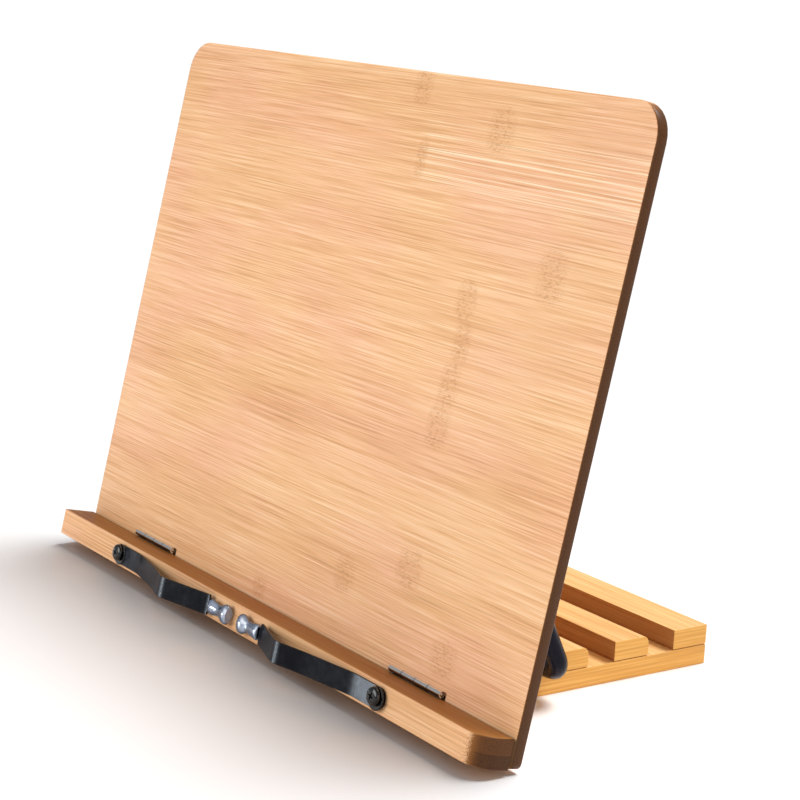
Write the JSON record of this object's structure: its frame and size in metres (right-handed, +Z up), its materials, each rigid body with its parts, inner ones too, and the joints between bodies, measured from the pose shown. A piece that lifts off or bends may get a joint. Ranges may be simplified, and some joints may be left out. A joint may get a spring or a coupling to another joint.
{
  "type": "bible stand",
  "caption": "Folding bamboo book stand: a rounded leaning board with a hinged ledge and two swinging page clips, a grooved base and a wire leg.",
  "frame": {"origin": "middle of the base's flat underside, on the table", "axes": "+X to the reader's right along the board's width, +Y to the back, +Z up; the board leans back 12 degrees"},
  "size_m": [0.34, 0.1798, 0.2437],
  "materials": {
    "bamboo": "clear satin lacquer over fine straight grain",
    "base_bamboo": "clear satin lacquer, glued layers",
    "polished_steel": "polished, nickel plated",
    "black_steel": "black oxide, satin",
    "black_rod": "black lacquer, gloss",
    "clear_silicone": "clear, slightly milky, smooth"
  },
  "bodies": {
    "base": {"base_board": "base_bamboo", "base_slat_1": "base_bamboo", "base_slat_2": "base_bamboo", "base_slat_3": "base_bamboo", "base_slat_4": "base_bamboo", "base_hinge_base_leaf_left": "polished_steel", "base_hinge_pin_left": "polished_steel", "base_hinge_base_screw_left_1": "polished_steel", "base_hinge_base_screw_left_2": "polished_steel", "base_hinge_base_leaf_right": "polished_steel", "base_hinge_pin_right": "polished_steel", "base_hinge_base_screw_right_1": "polished_steel", "base_hinge_base_screw_right_2": "polished_steel"},
    "board": {"reading_board": "bamboo", "base_hinge_board_leaf_left": "polished_steel", "ledge_hinge_board_leaf_left": "polished_steel", "ledge_hinge_pin_left": "polished_steel", "base_hinge_board_screw_left_1": "polished_steel", "base_hinge_board_screw_left_2": "polished_steel", "ledge_hinge_board_screw_left_1": "polished_steel", "ledge_hinge_board_screw_left_2": "polished_steel", "leg_saddle_left": "black_steel", "leg_saddle_screw_left_lower": "black_steel", "leg_saddle_screw_left_upper": "black_steel", "base_hinge_board_leaf_right": "polished_steel", "ledge_hinge_board_leaf_right": "polished_steel", "ledge_hinge_pin_right": "polished_steel", "base_hinge_board_screw_right_1": "polished_steel", "base_hinge_board_screw_right_2": "polished_steel", "ledge_hinge_board_screw_right_1": "polished_steel", "ledge_hinge_board_screw_right_2": "polished_steel", "leg_saddle_right": "black_steel", "leg_saddle_screw_right_lower": "black_steel", "leg_saddle_screw_right_upper": "black_steel"},
    "ledge": {"ledge_bar": "bamboo", "ledge_hinge_ledge_leaf_left": "polished_steel", "ledge_hinge_ledge_screw_left_1": "polished_steel", "ledge_hinge_ledge_screw_left_2": "polished_steel", "clip_washer_left": "black_steel", "clip_screw_left": "black_steel", "ledge_hinge_ledge_leaf_right": "polished_steel", "ledge_hinge_ledge_screw_right_1": "polished_steel", "ledge_hinge_ledge_screw_right_2": "polished_steel", "clip_washer_right": "black_steel", "clip_screw_right": "black_steel"},
    "clip_left": {"clip_strip_left": "black_steel", "clip_cap_left": "clear_silicone"},
    "clip_right": {"clip_strip_right": "black_steel", "clip_cap_right": "clear_silicone"},
    "leg": {"support_leg": "black_rod"}
  },
  "joints": [
    {"name": "board_tilt", "type": "hinge", "parent": "base", "child": "board", "pos_m": [0, -0.06915, 0.0198], "axis": [1, 0, 0], "range_deg": [0, 12]},
    {"name": "leg_swing", "type": "hinge", "parent": "board", "child": "leg", "pos_m": [0, -0.05278, 0.08431], "axis": [1, 0, 0], "range_deg": [0, 141]},
    {"name": "ledge_fold", "type": "hinge", "parent": "board", "child": "ledge", "pos_m": [0, -0.07877, 0.01591], "axis": [-1, 0, 0], "range_deg": [0, 90]},
    {"name": "clip_left_swing", "type": "hinge", "parent": "ledge", "child": "clip_left", "pos_m": [-0.1063, -0.09543, 0.01158], "axis": [0, 0.9781, -0.2079], "range_deg": [-110, 0]},
    {"name": "clip_right_swing", "type": "hinge", "parent": "ledge", "child": "clip_right", "pos_m": [0.1063, -0.09543, 0.01158], "axis": [0, -0.9781, 0.2079], "range_deg": [-110, 0]}
  ]
}
